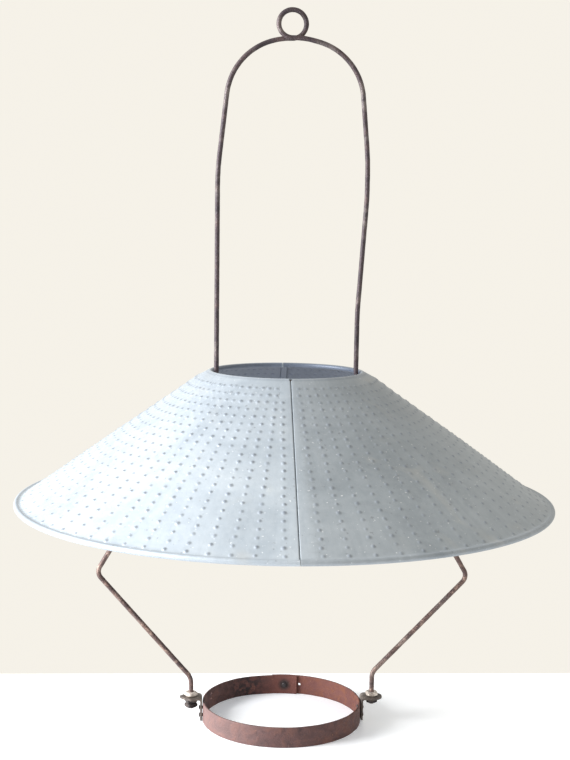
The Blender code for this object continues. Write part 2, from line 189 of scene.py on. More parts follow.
class Tree:
    """Builds one material's nodes; inputs are numbers, colours or sockets."""

    def __init__(self, name):
        self.material = bpy.data.materials.new(name)
        self.material.use_nodes = True
        self.nodes = self.material.node_tree.nodes
        self.links = self.material.node_tree.links
        self.shader = self.nodes["Principled BSDF"]
        coordinates = self.nodes.new("ShaderNodeTexCoord")
        self.place = coordinates.outputs["Object"]

    def add(self, kind, inputs=None, **settings):
        made = self.nodes.new("ShaderNode" + kind)
        for name, value in settings.items():
            setattr(made, name, value)
        for name, value in (inputs or {}).items():
            self.feed(made.inputs[name], value)
        return made

    def feed(self, socket, value):
        if isinstance(value, bpy.types.NodeSocket):
            self.links.new(value, socket)
        else:
            socket.default_value = value

    def math(self, operation, first, second=0.0, clamp=False):
        made = self.add("Math", {0: first, 1: second}, operation=operation, use_clamp=clamp)
        return made.outputs[0]

    def noise(self, scale, detail=4.0, roughness=0.55, place=None, distortion=0.0):
        inputs = {
            "Vector": place or self.place,
            "Scale": scale,
            "Detail": detail,
            "Roughness": roughness,
            "Distortion": distortion,
        }
        return self.add("TexNoise", inputs).outputs["Fac"]

    def cells(self, scale, output="Distance", feature="F1", place=None):
        inputs = {"Vector": place or self.place, "Scale": scale}
        return self.add("TexVoronoi", inputs, feature=feature).outputs[output]

    def between(self, value, low, high, to_low=0.0, to_high=1.0):
        """Maps low and high to two other values, held at both ends."""
        inputs = {
            "Value": value,
            "From Min": low,
            "From Max": high,
            "To Min": to_low,
            "To Max": to_high,
        }
        return self.add("MapRange", inputs).outputs[0]

    def ramp(self, value, *stops):
        made = self.add("ValToRGB", {"Fac": value})
        elements = made.color_ramp.elements
        while len(elements) < len(stops):
            elements.new(0.5)
        for element, (place, colour) in zip(elements, stops):
            element.position = place
            element.color = (*colour, 1.0)
        return made.outputs["Color"]

    def mix(self, amount, first, second, blend="MIX"):
        made = self.add("Mix", data_type="RGBA", blend_type=blend)
        self.feed(made.inputs[0], amount)
        for socket, value in ((made.inputs[6], first), (made.inputs[7], second)):
            self.feed(socket, value if isinstance(value, bpy.types.NodeSocket) else (*value, 1.0))
        return made.outputs[2]

    def bump(self, height, strength, distance, before=None):
        inputs = {"Height": height, "Strength": strength, "Distance": distance}
        if before:
            inputs["Normal"] = before
        return self.add("Bump", inputs).outputs["Normal"]

    def split_place(self):
        """The coordinates' sockets, and the distance from the Z axis."""
        split = self.add("SeparateXYZ", {0: self.place}).outputs
        flat = self.add("CombineXYZ", {0: split[0], 1: split[1]}).outputs[0]
        return split, self.add("VectorMath", {0: flat}, operation="LENGTH").outputs["Value"]

    def near(self, point, full, none):
        """1 within full metres of a point, falling to 0 at none."""
        made = self.add("VectorMath", {0: self.place, 1: point}, operation="DISTANCE")
        return self.between(made.outputs["Value"], full, none, 1.0, 0.0)

    def finish(self, **inputs):
        names = {
            "colour": "Base Color",
            "roughness": "Roughness",
            "metallic": "Metallic",
            "normal": "Normal",
            "specular": "Specular IOR Level",
        }
        for name, value in inputs.items():
            self.feed(self.shader.inputs[names[name]], value)
        return self.material


# Materials ------------------------------------------------------------------


def galvanised_tin(name, shift, tones):
    """Weathered zinc: mottled blue-grey, faint streaks down the slope, specks; painted shade on the
    dot tips, in the creases and on the turned-in curls.
    """
    tree = Tree(name)
    split, flat = tree.split_place()
    streak_place = tree.add("CombineXYZ", {
        0: tree.math("MULTIPLY", tree.math("DIVIDE", split[0], flat), 26.0),
        1: tree.math("MULTIPLY", tree.math("DIVIDE", split[1], flat), 26.0),
        2: tree.math("ADD", tree.math("MULTIPLY", flat, 9.0), shift),
    }).outputs[0]
    streaks = tree.noise(1.6, 5.0, 0.62, streak_place)
    clouds = tree.noise(17.0, 5.0, 0.6, distortion=0.6)
    fine = tree.noise(190.0, 5.0, 0.7)
    spangle = tree.add("SeparateColor", {0: tree.cells(130.0, "Color")}).outputs[0]
    base = tree.ramp(clouds, (0.3, tones[0]), (0.5, tones[1]), (0.72, tones[2]))
    base = tree.mix(tree.between(streaks, 0.42, 0.75, 0.0, 0.4), base, tones[0])
    base = tree.mix(tree.between(fine, 0.35, 0.75, 0.0, 0.3), base, tones[3])
    base = tree.mix(tree.between(spangle, 0.55, 1.0, 0.0, 0.18), base, tones[0])
    warm = tree.between(tree.noise(22.0, 3.0, 0.5, distortion=1.0), 0.60, 0.74, 0.0, 0.2)
    base = tree.mix(warm, base, (0.47, 0.45, 0.40))
    specks = tree.between(tree.noise(620.0, 2.0, 0.4), 0.72, 0.75, 0.0, 0.5)
    base = tree.mix(specks, base, (0.88, 0.90, 0.92))
    stains = tree.between(tree.noise(340.0, 3.0, 0.5), 0.67, 0.73, 0.0, 0.45)
    base = tree.mix(stains, base, (0.13, 0.13, 0.14))
    # The dot tips are painted darker: painted shade on the raised dots, and wear
    dot_tip_shade_and_wear = tree.add("Attribute", attribute_name="dot").outputs["Fac"]
    base = tree.mix(tree.math("MULTIPLY", dot_tip_shade_and_wear, 0.75), base, (0.13, 0.15, 0.19))
    # inner: the inner face drawn darker and bluer, and painted shade in the creases by the rolled
    # edges and on the turned-in curls
    inner = tree.add("Attribute", attribute_name="inner").outputs["Fac"]
    # Darker towards the neck
    base = tree.mix(tree.between(flat, 0.07, 0.15, 0.16, 0.0), base, (0.05, 0.06, 0.08))
    base = tree.mix(tree.math("MULTIPLY", inner, 0.8), base, (0.048, 0.064, 0.105))
    roughness = tree.between(tree.math("ADD", clouds, tree.math("MULTIPLY", fine, 0.5)),
                             0.4, 1.1, 0.40, 0.60)
    normal = tree.bump(fine, 0.3, 0.0003)
    normal = tree.bump(clouds, 0.35, 0.0018, normal)
    return tree.finish(colour=base, roughness=roughness, metallic=0.3, normal=normal)


def rusty(name, tones, patch_scale, metallic, rough, pit=0.0005, bright=0.0, extra=None):
    """Rust in three tones, with pits, crumbs and, if asked, bare bright metal."""
    tree = Tree(name)
    patches = tree.noise(patch_scale, 6.0, 0.66, distortion=0.8)
    grain = tree.noise(900.0, 6.0, 0.7)
    crumbs = tree.cells(650.0)
    base = tree.ramp(patches, (0.34, tones[0]), (0.5, tones[1]), (0.68, tones[2]))
    base = tree.mix(tree.between(grain, 0.35, 0.7, 0.0, 0.55), base, tones[3])
    base = tree.mix(tree.between(crumbs, 0.0, 0.35, 0.45, 0.0), base, tones[0])
    if extra:
        base = extra(tree, base)
    worn = tree.between(tree.noise(60.0, 4.0, 0.6), 0.52, 0.66, 0.0, bright)
    base = tree.mix(worn, base, (0.62, 0.55, 0.50))
    roughness = tree.between(tree.math("SUBTRACT", grain, tree.math("MULTIPLY", worn, 0.5)),
                             0.2, 0.8, rough - 0.15, rough + 0.1)
    normal = tree.bump(grain, 0.55, pit)
    normal = tree.bump(patches, 0.5, pit * 3, normal)
    normal = tree.bump(crumbs, 0.25, pit, normal)
    return tree.finish(colour=base, roughness=roughness, metallic=metallic, normal=normal)


def strap_stains(tree, base):
    """Orange rust towards +X, a paler pink-grey on the outer face towards -X, and black scale
    inside.
    """
    split, reach = tree.split_place()
    across = split[0]
    outside = tree.between(reach, 0.0600, 0.0606)
    pale_left_outside = tree.math("MULTIPLY", tree.between(across, -0.01, -0.06, 0.0, 0.45), outside)
    base = tree.mix(pale_left_outside, base, (0.25, 0.16, 0.15))
    red = tree.math("MULTIPLY", tree.between(outside, 0.0, 1.0, 0.65, 0.0),
                    tree.between(across, -0.05, 0.0))
    base = tree.mix(red, base, (0.125, 0.032, 0.022))
    orange = tree.math("MULTIPLY", tree.between(across, 0.0, 0.05, 0.05, 0.75),
                       tree.between(tree.noise(190.0, 5.0, 0.7), 0.47, 0.62))
    orange = tree.math("MULTIPLY", orange, tree.between(outside, 0.0, 1.0, 1.0, 0.35))
    base = tree.mix(orange, base, (0.16, 0.050, 0.020))
    freckles = tree.between(tree.noise(460.0, 4.0, 0.6), 0.65, 0.70, 0.0, 0.4)
    base = tree.mix(freckles, base, (0.34, 0.15, 0.08))
    scale = tree.between(tree.noise(210.0, 5.0, 0.7), 0.42, 0.56)
    black = tree.math("MULTIPLY", scale, tree.near((-0.027, 0.054, 0.008), 0.006, 0.024))
    base = tree.mix(tree.math("MULTIPLY", black, 0.9), base, (0.012, 0.010, 0.012))
    rivet = polar(LAP_RIVET_ANGLE, RING_RADIUS - 2 * STRAP, LAP_RIVET_HEIGHT) * MM
    ring = tree.math("MULTIPLY", tree.near(rivet, 0.0028, 0.0058), 0.9)
    return tree.mix(ring, base, (0.014, 0.010, 0.010))


def pink_legs(tree, base):
    """The wire is paler and warmer towards its lower end, with pale flecks there that are painted
    highlights.
    """
    legs = tree.between(tree.split_place()[0][2], 0.20, 0.15)
    worn = tree.math("MULTIPLY", legs,
                     tree.between(tree.noise(130.0, 4.0, 0.6), 0.35, 0.6, 0.25, 0.8))
    base = tree.mix(worn, base, (0.185, 0.115, 0.095))
    # Pale flecks on the lower legs: painted highlights
    highlight_flecks = tree.math("MULTIPLY", legs,
                      tree.between(tree.noise(260.0, 4.0, 0.6), 0.54, 0.68, 0.0, 0.5))
    base = tree.mix(highlight_flecks, base, (0.50, 0.36, 0.29))
    dark = tree.between(tree.noise(210.0, 4.0, 0.6, distortion=0.5), 0.52, 0.36, 0.0, 0.5)
    return tree.mix(dark, base, (0.045, 0.030, 0.030))


# Four tones for each metal: dark, middle and pale patches, then the grain
TONES = {
    # The left half's tin is painted lighter, as painted light, and the right half's darker, as
    # painted shade
    "lit_left_tin": ((0.29, 0.335, 0.385), (0.355, 0.405, 0.46), (0.41, 0.455, 0.50),
        (0.49, 0.53, 0.57)),
    "shaded_right_tin": ((0.205, 0.235, 0.265), (0.265, 0.30, 0.335), (0.325, 0.36, 0.395),
        (0.39, 0.42, 0.45)),
    "wire": ((0.012, 0.009, 0.013), (0.040, 0.029, 0.036), (0.095, 0.062, 0.060),
        (0.070, 0.054, 0.064)),
    "strap": ((0.035, 0.017, 0.018), (0.085, 0.040, 0.038), (0.15, 0.062, 0.045),
        (0.13, 0.070, 0.066)),
    "lug": ((0.030, 0.022, 0.020), (0.10, 0.078, 0.066), (0.20, 0.16, 0.13),
        (0.17, 0.145, 0.13)),
    # The top nuts' pale cream tones are a painted highlight
    "nut": ((0.18, 0.14, 0.12), (0.50, 0.43, 0.37), (0.82, 0.76, 0.69),
        (0.72, 0.66, 0.60)),
    # Near black: painted shade on the nuts under the lugs, and the rivets' dark iron
    "black": ((0.008, 0.008, 0.010), (0.028, 0.022, 0.024), (0.09, 0.06, 0.045),
        (0.06, 0.05, 0.05)),
    "hidden": ((0.04, 0.035, 0.03), (0.12, 0.09, 0.07), (0.22, 0.16, 0.12),
        (0.2, 0.18, 0.17)),
}


def make_materials():
    return {
        # The left half's tones are painted light and the right half's painted shade
        "tin_left": galvanised_tin("lit_tin_left_half", 0.0, TONES["lit_left_tin"]),
        "tin_right": galvanised_tin("shaded_tin_right_half", 7.3, TONES["shaded_right_tin"]),
        "wire": rusty("browned_wire", TONES["wire"], 70.0, 0.4, 0.55, bright=0.15, extra=pink_legs),
        "strap": rusty("rusty_strap", TONES["strap"], 75.0, 0.1, 0.75, extra=strap_stains),
        "lug": rusty("old_iron", TONES["lug"], 90.0, 0.35, 0.62, bright=0.3),
        # Top nuts pale, a painted highlight; the other material near black, painted shade on the
        # nuts under the lugs and the rivets' dark iron
        "nut": rusty("worn_nut", TONES["nut"], 190.0, 0.35, 0.42, bright=0.7),
        "shaded_nut_and_rivet": rusty("nut_shade_and_rivet_black", TONES["black"], 190.0, 0.3, 0.5),
        "edge_wire": rusty("edge_wire", TONES["hidden"], 120.0, 0.5, 0.55, bright=0.3),
    }


# Mesh helpers ---------------------------------------------------------------


def add_object(name, data):
    made = bpy.data.objects.new(name, data)
    bpy.context.collection.objects.link(made)
    return made


def mesh_object(name, points, faces, material, sharp_angle=40.0):
    """Points in millimetres, and faces as lists of their numbers."""
    mesh = bpy.data.meshes.new(name)
    mesh.from_pydata([tuple(value * MM for value in point) for point in points], [], faces)
    mesh.validate()
    fixed = bmesh.new()
    fixed.from_mesh(mesh)
    bmesh.ops.recalc_face_normals(fixed, faces=fixed.faces)
    fixed.to_mesh(mesh)
    fixed.free()
    mesh.materials.append(material)
    mesh.shade_smooth()
    mesh.set_sharp_from_angle(angle=math.radians(sharp_angle))
    return add_object(name, mesh)


def place_piece(piece, body, slot, *nodes):
    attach(piece, body)
    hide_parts(*nodes)
    return piece


def tube_faces(loops, size, closed):
    """Quads between loops of points; an open tube gets a cap at each end."""
    faces = []
    for loop in range(loops if closed else loops - 1):
        first = loop * size
        second = (loop + 1) % loops * size
        for corner in range(size):
            after = (corner + 1) % size
            faces.append([first + corner, first + after, second + after, second + corner])
    if not closed:
        faces.append(list(range(size)))
        faces.append([(loops - 1) * size + corner for corner in reversed(range(size))])
    return faces


def polar(degrees, radius, height):
    """A point given by its angle, its distance from the Z axis and its height."""
    around = math.radians(degrees)
    return Vector((radius * math.cos(around), radius * math.sin(around), height))


def uneven(point, scale, amount, seed=0.0):
    """Smooth noise between -amount and amount, at about one bump for each scale mm."""
    place = Vector(point) / scale + Vector((seed, 1.7 * seed, -seed))
    return amount * max(-1.0, min(1.0, 1.6 * noise.noise(place)))


def rounded_path(start, bends, end, step=9.0):
    """Straight runs from start to end, with an arc in place of each bend."""
    path = [Vector(start)]
    corners = [Vector(start)] + [Vector(bend[:2]) for bend in bends] + [Vector(end)]
    for number, bend in enumerate(bends, start=1):
        corner = corners[number]
        back = (corners[number - 1] - corner).normalized()
        ahead = (corners[number + 1] - corner).normalized()
        turn = math.pi - back.angle(ahead)
        tangent = bend[2] * math.tan(turn / 2)
        centre = corner + (back + ahead).normalized() * (bend[2] / math.cos(turn / 2))
        first = corner + back * tangent - centre
        last = corner + ahead * tangent - centre
        sweep = first.angle_signed(last)
        pieces = max(1, math.ceil(math.degrees(turn) / step))
        for piece in range(pieces + 1):
            path.append(centre + Matrix.Rotation(-sweep * piece / pieces, 2) @ first)
    path.append(Vector(end))
    return path


# Shade ----------------------------------------------------------------------


def cone_middle_line():
    """A point on the sheet's middle line, and the way down it."""
    along = (CONE_LOW - CONE_HIGH).normalized()
    normal = Vector((-along.y, along.x))
    return CONE_HIGH - normal * SHEET / 2, along


def roll_arc(point, centre, outer_radius, sweep_degrees, segments=24):
    """Middle line of a rolled edge, which a line from point enters as a tangent.

    It is drawn a little tighter towards its end.
    """
    radius = outer_radius - SHEET / 2
    sweep = math.radians(sweep_degrees)
    away = point - centre
    start = math.atan2(away.y, away.x) + math.copysign(math.acos(radius / away.length), sweep)
    arc = []
    for piece in range(segments + 1):
        share = piece / segments
        angle = start + sweep * share
        reach = radius - ROLL_TIGHTENING * share
        arc.append(centre + reach * Vector((math.cos(angle), math.sin(angle))))
    return arc


class SheetSection:
    """The shade's section: neck curl, slope and rim curl, as (radius, height)."""

    def __init__(self):
        start, along = cone_middle_line()
        high = start + along * ((CONE_TOP_RADIUS - start.x) / along.x)
        low = start + along * ((CONE_BASE_RADIUS - start.x) / along.x)
        self.neck_curl = roll_arc(high, NECK_ROLL, NECK_ROLL_RADIUS, NECK_ROLL_SWEEP)
        self.rim_curl = roll_arc(low, RIM_ROLL, RIM_ROLL_RADIUS, RIM_ROLL_SWEEP)
        bends = ((*high, CONE_TOP_BEND), (*low, CONE_BASE_BEND))
        slope = rounded_path(self.neck_curl[0], bends, self.rim_curl[0], 0.5)
        self.radii = [point.x for point in slope]
        self.heights = [point.y for point in slope]

    def height(self, radius):
        return float(np.interp(radius, self.radii, self.heights))

    def normal(self, radius):
        """Outward normal of the slope, in the section's plane."""
        step = 1.5
        fall = (self.height(radius + step) - self.height(radius - step)) / (2 * step)
        return Vector((-fall, 1.0)).normalized()


SECTION = SheetSection()
ROW_STEP = ROW_SPACING * cone_middle_line()[1].x  # along the radius
ROW_EDGES = [FIRST_ROW_RADIUS + (row - 0.5) * ROW_STEP for row in range(DOT_ROWS + 1)]


def seam_width(radius):
    return SEAM_WIDTH_AT_AXIS + SEAM_WIDENING * radius


def dents(radius, degrees):
    """How far the hand-made sheet stands off a true cone; none at its edges."""
    point = polar(degrees, radius, 0.0)
    share = (radius - SECTION.radii[0]) / (SECTION.radii[-1] - SECTION.radii[0])
    fade = max(0.0, min(1.0, 6 * share, 6 * (1 - share)))
    return fade * (uneven(point, 60.0, 0.22, 3.0) + uneven(point, 24.0, 0.10, 9.0))


def on_shade(radius, degrees, rise=0.0):
    """A point that stands rise above the sheet's middle."""
    normal = SECTION.normal(radius)
    rise += dents(radius, degrees)
    return polar(degrees, radius + normal.x * rise, SECTION.height(radius) + normal.y * rise)


def across_seam(radius, seam_degrees, across, rise):
    """A point beside a seam: across along the rim's direction, rise off the sheet."""
    return on_shade(radius, seam_degrees + math.degrees(across / radius), rise)


def arc_points(centre, radius, start, stop, pieces):
    """Points from one angle to another, as (across, rise)."""
    made = []
    for piece in range(pieces + 1):
        angle = math.radians(start + (stop - start) * piece / pieces)
        made.append((centre[0] + radius * math.cos(angle), centre[1] + radius * math.sin(angle)))
    return made


def level_fold(width):
    """Middle line of the edge that stays level, then folds down and back."""
    half = SEAM_PITCH
    turn_at = -SHEET / 2 - half
    turn = arc_points((turn_at, -half), half, 90, -90, 8)
    return turn + [(-width + LEVEL_TUCK, -2 * half)]


def under_fold(width):
    """Middle line of the edge that steps down and runs under the level one."""
    half = SEAM_PITCH
    lowest = -3 * half
    step = [*UNDER_STEP, (0.5, 0.8 * lowest), (0.3, lowest)]
    turn_at = -width + SHEET / 2 + half
    turn = arc_points((turn_at, -2 * half), half, 270, 90, 8)
    return step + [(-0.5 * width, lowest)] + turn + [(-UNDER_TUCK, -half)]


class PanelMesh:
    """Middle surface of one half of the shade, thickened at the end."""

    def __init__(self, first_angle, columns, dot_height, plain_cells, seed):
        self.first_angle = first_angle  # where the edge tucked under the seam is
        self.columns = columns  # functions from a radius to degrees past first_angle
        self.dot_height = dot_height
        self.plain_cells = plain_cells  # rings without a dot in the last column
        self.points = []
        # marks: where the dot tips are painted darker, as painted shade and wear
        self.marks = []  # 1 on top of a dot, 0 on the plain sheet
        # painted_shade: painted shade on the outer face, 1 where it is turned in, as inside a curl,
        # less in the creases by the rolled edges
        self.painted_shade = []  # 1 where the outer face is turned in, as inside a curl
        self.faces = []
        self.lattice = {}
        self.random = random.Random(seed)

    def add(self, point, mark=0.0, painted_shade=0.0):
        self.points.append(point)
        self.marks.append(mark)
        self.painted_shade.append(painted_shade)
        return len(self.points) - 1

    def last_angle(self, radius):
        return 180.0 + math.degrees(LEVEL_EDGE / radius)

    def column_edge(self, column, radius):
        if column == 0:
            return math.degrees(UNDER_EDGE / radius)
        if column == len(self.columns):
            return self.last_angle(radius)
        return (self.columns[column - 1](radius) + self.columns[column](radius)) / 2

    def station_angle(self, station, radius):
        column, part = divmod(station, CELL_SIDE)
        first = self.column_edge(column, radius)
        if not part:
            return self.first_angle + first
        second = self.column_edge(column + 1, radius)
        return self.first_angle + first + (second - first) * part / CELL_SIDE

    def lattice_point(self, level, station):
        key = (level, station)
        if key not in self.lattice:
            row, part = divmod(level, CELL_SIDE)
            radius = ROW_EDGES[row]
            if part:
                radius += ROW_STEP * part / CELL_SIDE
            point = on_shade(radius, self.station_angle(station, radius))
            self.lattice[key] = self.add(point)
        return self.lattice[key]

    def cell_loop(self, row, column):
        """The 12 points round a cell, starting at its outer, last corner."""
        low, high = row * CELL_SIDE, (row + 1) * CELL_SIDE
        first, last = column * CELL_SIDE, (column + 1) * CELL_SIDE
        loop = [(high, last - step) for step in range(CELL_SIDE)]
        loop += [(high - step, first) for step in range(CELL_SIDE)]
        loop += [(low, first + step) for step in range(CELL_SIDE)]
        loop += [(low + step, last) for step in range(CELL_SIDE)]
        return [self.lattice_point(level, station) for level, station in loop]

    def add_cell(self, row, column):
        """One raised dot and the sheet round it."""
        loop = self.cell_loop(row, column)
        count = len(loop)
        radius = FIRST_ROW_RADIUS + row * ROW_STEP + self.random.uniform(-1, 1) * DOT_JITTER * 0.8
        degrees = self.first_angle + self.columns[column](radius)
        degrees += math.degrees(self.random.uniform(-1, 1) * DOT_JITTER / radius)
        size = self.random.uniform(*DOT_SIZES)
        tall = self.random.uniform(*DOT_HEIGHTS) * self.dot_height
        tall *= min(1.0, 0.4 + radius / 180)  # lighter near the neck
        if row < self.plain_cells and column == len(self.columns) - 1:
            tall = 0.0
        slope = cone_middle_line()[1].x
        previous = loop
        for reach, rise in DOT_LEVELS:
            current = []
            for corner in range(count):
                turn = math.radians(45 + 360 * corner / count)
                along = reach * size * math.sin(turn) * slope
                across = reach * size * math.cos(turn)
                spot = radius + along
                point = on_shade(spot, degrees + math.degrees(across / spot), rise * tall)
                current.append(self.add(point, min(1.0, tall) * rise / DOT_TOP))
            for corner in range(count):
                after = (corner + 1) % count
                self.faces.append(
                    [previous[corner], previous[after], current[after], current[corner]]
                )
            previous = current
        top = self.add(on_shade(radius, degrees, DOT_TOP * tall), min(1.0, tall))
        for corner in range(count):
            self.faces.append([previous[corner], previous[(corner + 1) % count], top])

    def add_strip(self, first, second):
        """Quads between two rows or columns of point numbers; None leaves a hole."""
        for number in range(len(first) - 1):
            corners = [first[number], first[number + 1], second[number + 1], second[number]]
            if None not in corners:
                self.faces.append(corners)

    def extra_rows(self):
        """Plain rows and curls: lists of (radius, painted shade, function from degrees to a point).
        """
        neck = []
        for share in (0.8, 0.6, 0.4, 0.2):
            radius = SECTION.radii[0] + (ROW_EDGES[0] - SECTION.radii[0]) * share
            # Painted shade in the crease under the neck's rolled edge
            painted_shade = NECK_PAINTED_SHADE if share == 0.2 else 0.0
            neck.append((radius, painted_shade, lambda degrees, radius=radius: on_shade(radius, degrees)))
        for number, point in enumerate(SECTION.neck_curl):
            # Painted shade, growing where the neck's curl turns in
            painted_shade = min(1.0, max(0.0, (number - 3) / 3))
            neck.append((point.x, painted_shade, lambda degrees, point=point: polar(degrees, *point)))
        rim = []
        for number, point in enumerate(SECTION.rim_curl):
            # Painted shade on the rim's rolled edge, strongest on its first rows
            painted_shade = RIM_PAINTED_SHADE[min(number, len(RIM_PAINTED_SHADE) - 1)]
            rim.append((point.x, painted_shade, lambda degrees, point=point: polar(degrees, *point)))
        return neck, rim

    def build(self):
        column_count = len(self.columns)
        stations = column_count * CELL_SIDE + 1
        levels = DOT_ROWS * CELL_SIDE + 1
        for row in range(DOT_ROWS):
            for column in range(column_count):
                self.add_cell(row, column)
        neck_rows, rim_rows = self.extra_rows()
        # Down each end of the panel: (radius, point number) at the neck, then at the rim
        edge_columns = {0: ([], []), stations - 1: ([], [])}
        for part, rows, level in ((0, neck_rows, 0), (1, rim_rows, levels - 1)):
            previous = [self.lattice_point(level, station) for station in range(stations)]
            for radius, painted_shade, place in rows:
                held = max(SECTION.radii[0], min(SECTION.radii[-1], radius))
                current = [
                    self.add(place(self.station_angle(station, held)), 0.0, painted_shade)
                    for station in range(stations)
                ]
                self.add_strip(previous, current)
                for station, parts in edge_columns.items():
                    parts[part].append((radius, current[station]))
                previous = current
        self.add_folds(edge_columns, levels, stations)

    def add_folds(self, edge_columns, levels, stations):
        """Folds each end of the panel along its seam."""
        for station, seam_turn, fold in ((0, 0.0, under_fold), (stations - 1, 180.0, level_fold)):
            seam = self.first_angle + seam_turn
            neck, rim = edge_columns[station]
            slope = [
                (ROW_EDGES[0] + ROW_STEP * level / CELL_SIDE, self.lattice_point(level, station))
                for level in range(levels)
            ]
            line = list(reversed(neck)) + slope + rim
            first_slope = len(SECTION.neck_curl)
            last_slope = len(neck) + len(slope) - 1
            self.close_curls(line, seam, -CURL_END if station else CURL_END)
            previous = [
                number if first_slope <= row <= last_slope else None
                for row, (radius, number) in enumerate(line)
            ]
            sections = [fold(seam_width(radius)) for radius, number in line]
            for step in range(len(sections[0])):
                current = []
                for row, (radius, number) in enumerate(line):
                    if first_slope <= row <= last_slope:
                        across, rise = sections[row][step]
                        current.append(self.add(across_seam(radius, seam, across, rise)))
                    else:
                        current.append(None)
                self.add_strip(previous, current)
                previous = current

    def close_curls(self, line, seam, across):
        """Carries the curls and the plain rows by them on to the seam's line."""
        neck = len(SECTION.neck_curl)
        rim = len(line) - len(SECTION.rim_curl)
        previous = []
        current = []
        for row, (radius, number) in enumerate(line):
            if neck <= row < rim:
                previous.append(None)
                current.append(None)
                continue
            curl = SECTION.neck_curl[neck - 1 - row] if row < neck else SECTION.rim_curl[row - rim]
            previous.append(number)
            current.append(self.add(polar(seam + math.degrees(across / radius), *curl)))
        self.add_strip(previous, current)

    def thickened(self, name, material):
        """Offsets the middle surface both ways and closes its open edges."""
        middle = bpy.data.meshes.new(name + "_middle")
        middle.from_pydata([tuple(point) for point in self.points], [], self.faces)
        fixed = bmesh.new()
        fixed.from_mesh(middle)
        bmesh.ops.recalc_face_normals(fixed, faces=fixed.faces)
        fixed.verts.ensure_lookup_table()
        normals = [vertex.normal.copy() for vertex in fixed.verts]
        faces = [[vertex.index for vertex in face.verts] for face in fixed.faces]
        edges = []
        for edge in fixed.edges:
            if len(edge.link_faces) == 1:
                loop = edge.link_loops[0]
                edges.append((loop.vert.index, loop.link_loop_next.vert.index))
        fixed.free()
        bpy.data.meshes.remove(middle)
        count = len(self.points)
        points = [p + n * SHEET / 2 for p, n in zip(self.points, normals)]
        points += [p - n * SHEET / 2 for p, n in zip(self.points, normals)]
        both = faces + [[count + corner for corner in reversed(face)] for face in faces]
        both += [[second, first, count + first, count + second] for first, second in edges]
        made = mesh_object(name, points, both, material, 50.0)
        marks = made.data.attributes.new("dot", "FLOAT", "POINT")
        marks.data.foreach_set("value", self.marks + self.marks)
        inner = made.data.attributes.new("inner", "FLOAT", "POINT")
        # The inner face is marked 1 and drawn darker; the outer face carries the painted shade
        inner.data.foreach_set("value", self.painted_shade + [1.0] * count)
        return made


def left_columns():
    """From the back seam forwards; the last one runs beside the front seam."""
    turns = [LEFT_LAST_TURN - LEFT_COLUMN_STEP * column for column in range(LEFT_COLUMNS)]
    columns = [lambda radius, turn=turn: turn for turn in reversed(turns)]

    def beside_seam(radius):
        away = SEAM_COLUMN_GAP + SEAM_COLUMN_WIDENING * radius
        return 180.0 - math.degrees(away / radius)

    return columns + [beside_seam]


def right_columns():
    """From the front seam backwards."""
    turns = [RIGHT_FIRST_TURN + RIGHT_COLUMN_STEP * column for column in range(RIGHT_COLUMNS)]
    return [lambda radius, turn=turn: turn for turn in turns]


def make_shade(materials):
    for side, first_angle, columns, dot_height, plain_cells in (
        ("left", 90.0, left_columns(), 1.0, PLAIN_CELLS),
        ("right", 270.0, right_columns(), RIGHT_DOT_HEIGHT, 0),
    ):
        panel = PanelMesh(first_angle, columns, dot_height, plain_cells, "shade " + side)
        panel.build()
        name = f"pricked_panel_{side}"
        piece = panel.thickened(name, materials["tin_" + side])
        place_piece(piece, "shade", "tin", f"shade_panel_{side}")


def make_hoop(name, centre, wire_radius, material):
    sides = 14
    turns = 240
    points = []
    for turn in range(turns):
        for side in range(sides):
            roll = 2 * math.pi * side / sides
            swell = wire_radius - 0.05 + uneven((3 * turn, 9 * side, 0), 12.0, 0.04)
            spot = centre + swell * Vector((math.cos(roll), math.sin(roll)))
            points.append(polar(360 * turn / turns, *spot))
    return mesh_object(name, points, tube_faces(turns, sides, True), material)


# Harp -----------------------------------------------------------------------


def on_eye(angle):
    return Vector(EYE_CENTRE) + EYE_RADIUS * Vector((math.cos(angle), math.sin(angle)))


def stand_off(point):
    """How far an arm stands out of the harp's plane, near where the arms cross."""
    fade = max(0.0, 1 - abs(point.x - EYE_CENTRE[0]) / CROSSING_FADE)
    return CROSSING_OFFSET * min(1.0, 1.25 * fade)


def refined(path, longest):
    """The same path with its long runs cut into shorter pieces."""
    made = [path[0]]
    for point in path[1:]:
        before = made[-1]
        pieces = max(1, math.ceil((point - before).length / longest))
        made.extend(before.lerp(point, piece / pieces) for piece in range(1, pieces + 1))
    return made


def harp_route():
    """The wire from its left end, up, once round the eye and down to the right."""
    left_end = millimetres("harp_wire")[0].z
    right_end = left_end + RIGHT_END_RISE
    bottom = -math.pi / 2
    left = rounded_path((-WIRE_END_X, left_end), LEFT_BENDS, on_eye(bottom), 3.0)
    right = rounded_path((WIRE_END_X, right_end), RIGHT_BENDS, on_eye(bottom), 3.0)
    left = refined(left, 2.0)
    right = refined(right, 2.0)
    route = [Vector((point.x, stand_off(point), point.y)) for point in left]
    turns = 64
    for turn in range(1, turns):
        share = turn / turns
        point = on_eye(bottom + 2 * math.pi * share)
        route.append(Vector((point.x, CROSSING_OFFSET * (1 - 2 * share), point.y)))
    route.extend(Vector((point.x, -stand_off(point), point.y)) for point in reversed(right))
    return route


def with_threads(route):
    """Closer points on the two ends, where the thread is cut."""
    made = []
    for number, point in enumerate(route):
        made.append(point)
        if number + 1 < len(route):
            after = route[number + 1]
            threaded = max(point.z, after.z) < THREAD_TOP
            pieces = math.ceil((after - point).length / (THREAD_PITCH / 6)) if threaded else 1
            made.extend(point.lerp(after, piece / pieces) for piece in range(1, pieces))
    return made


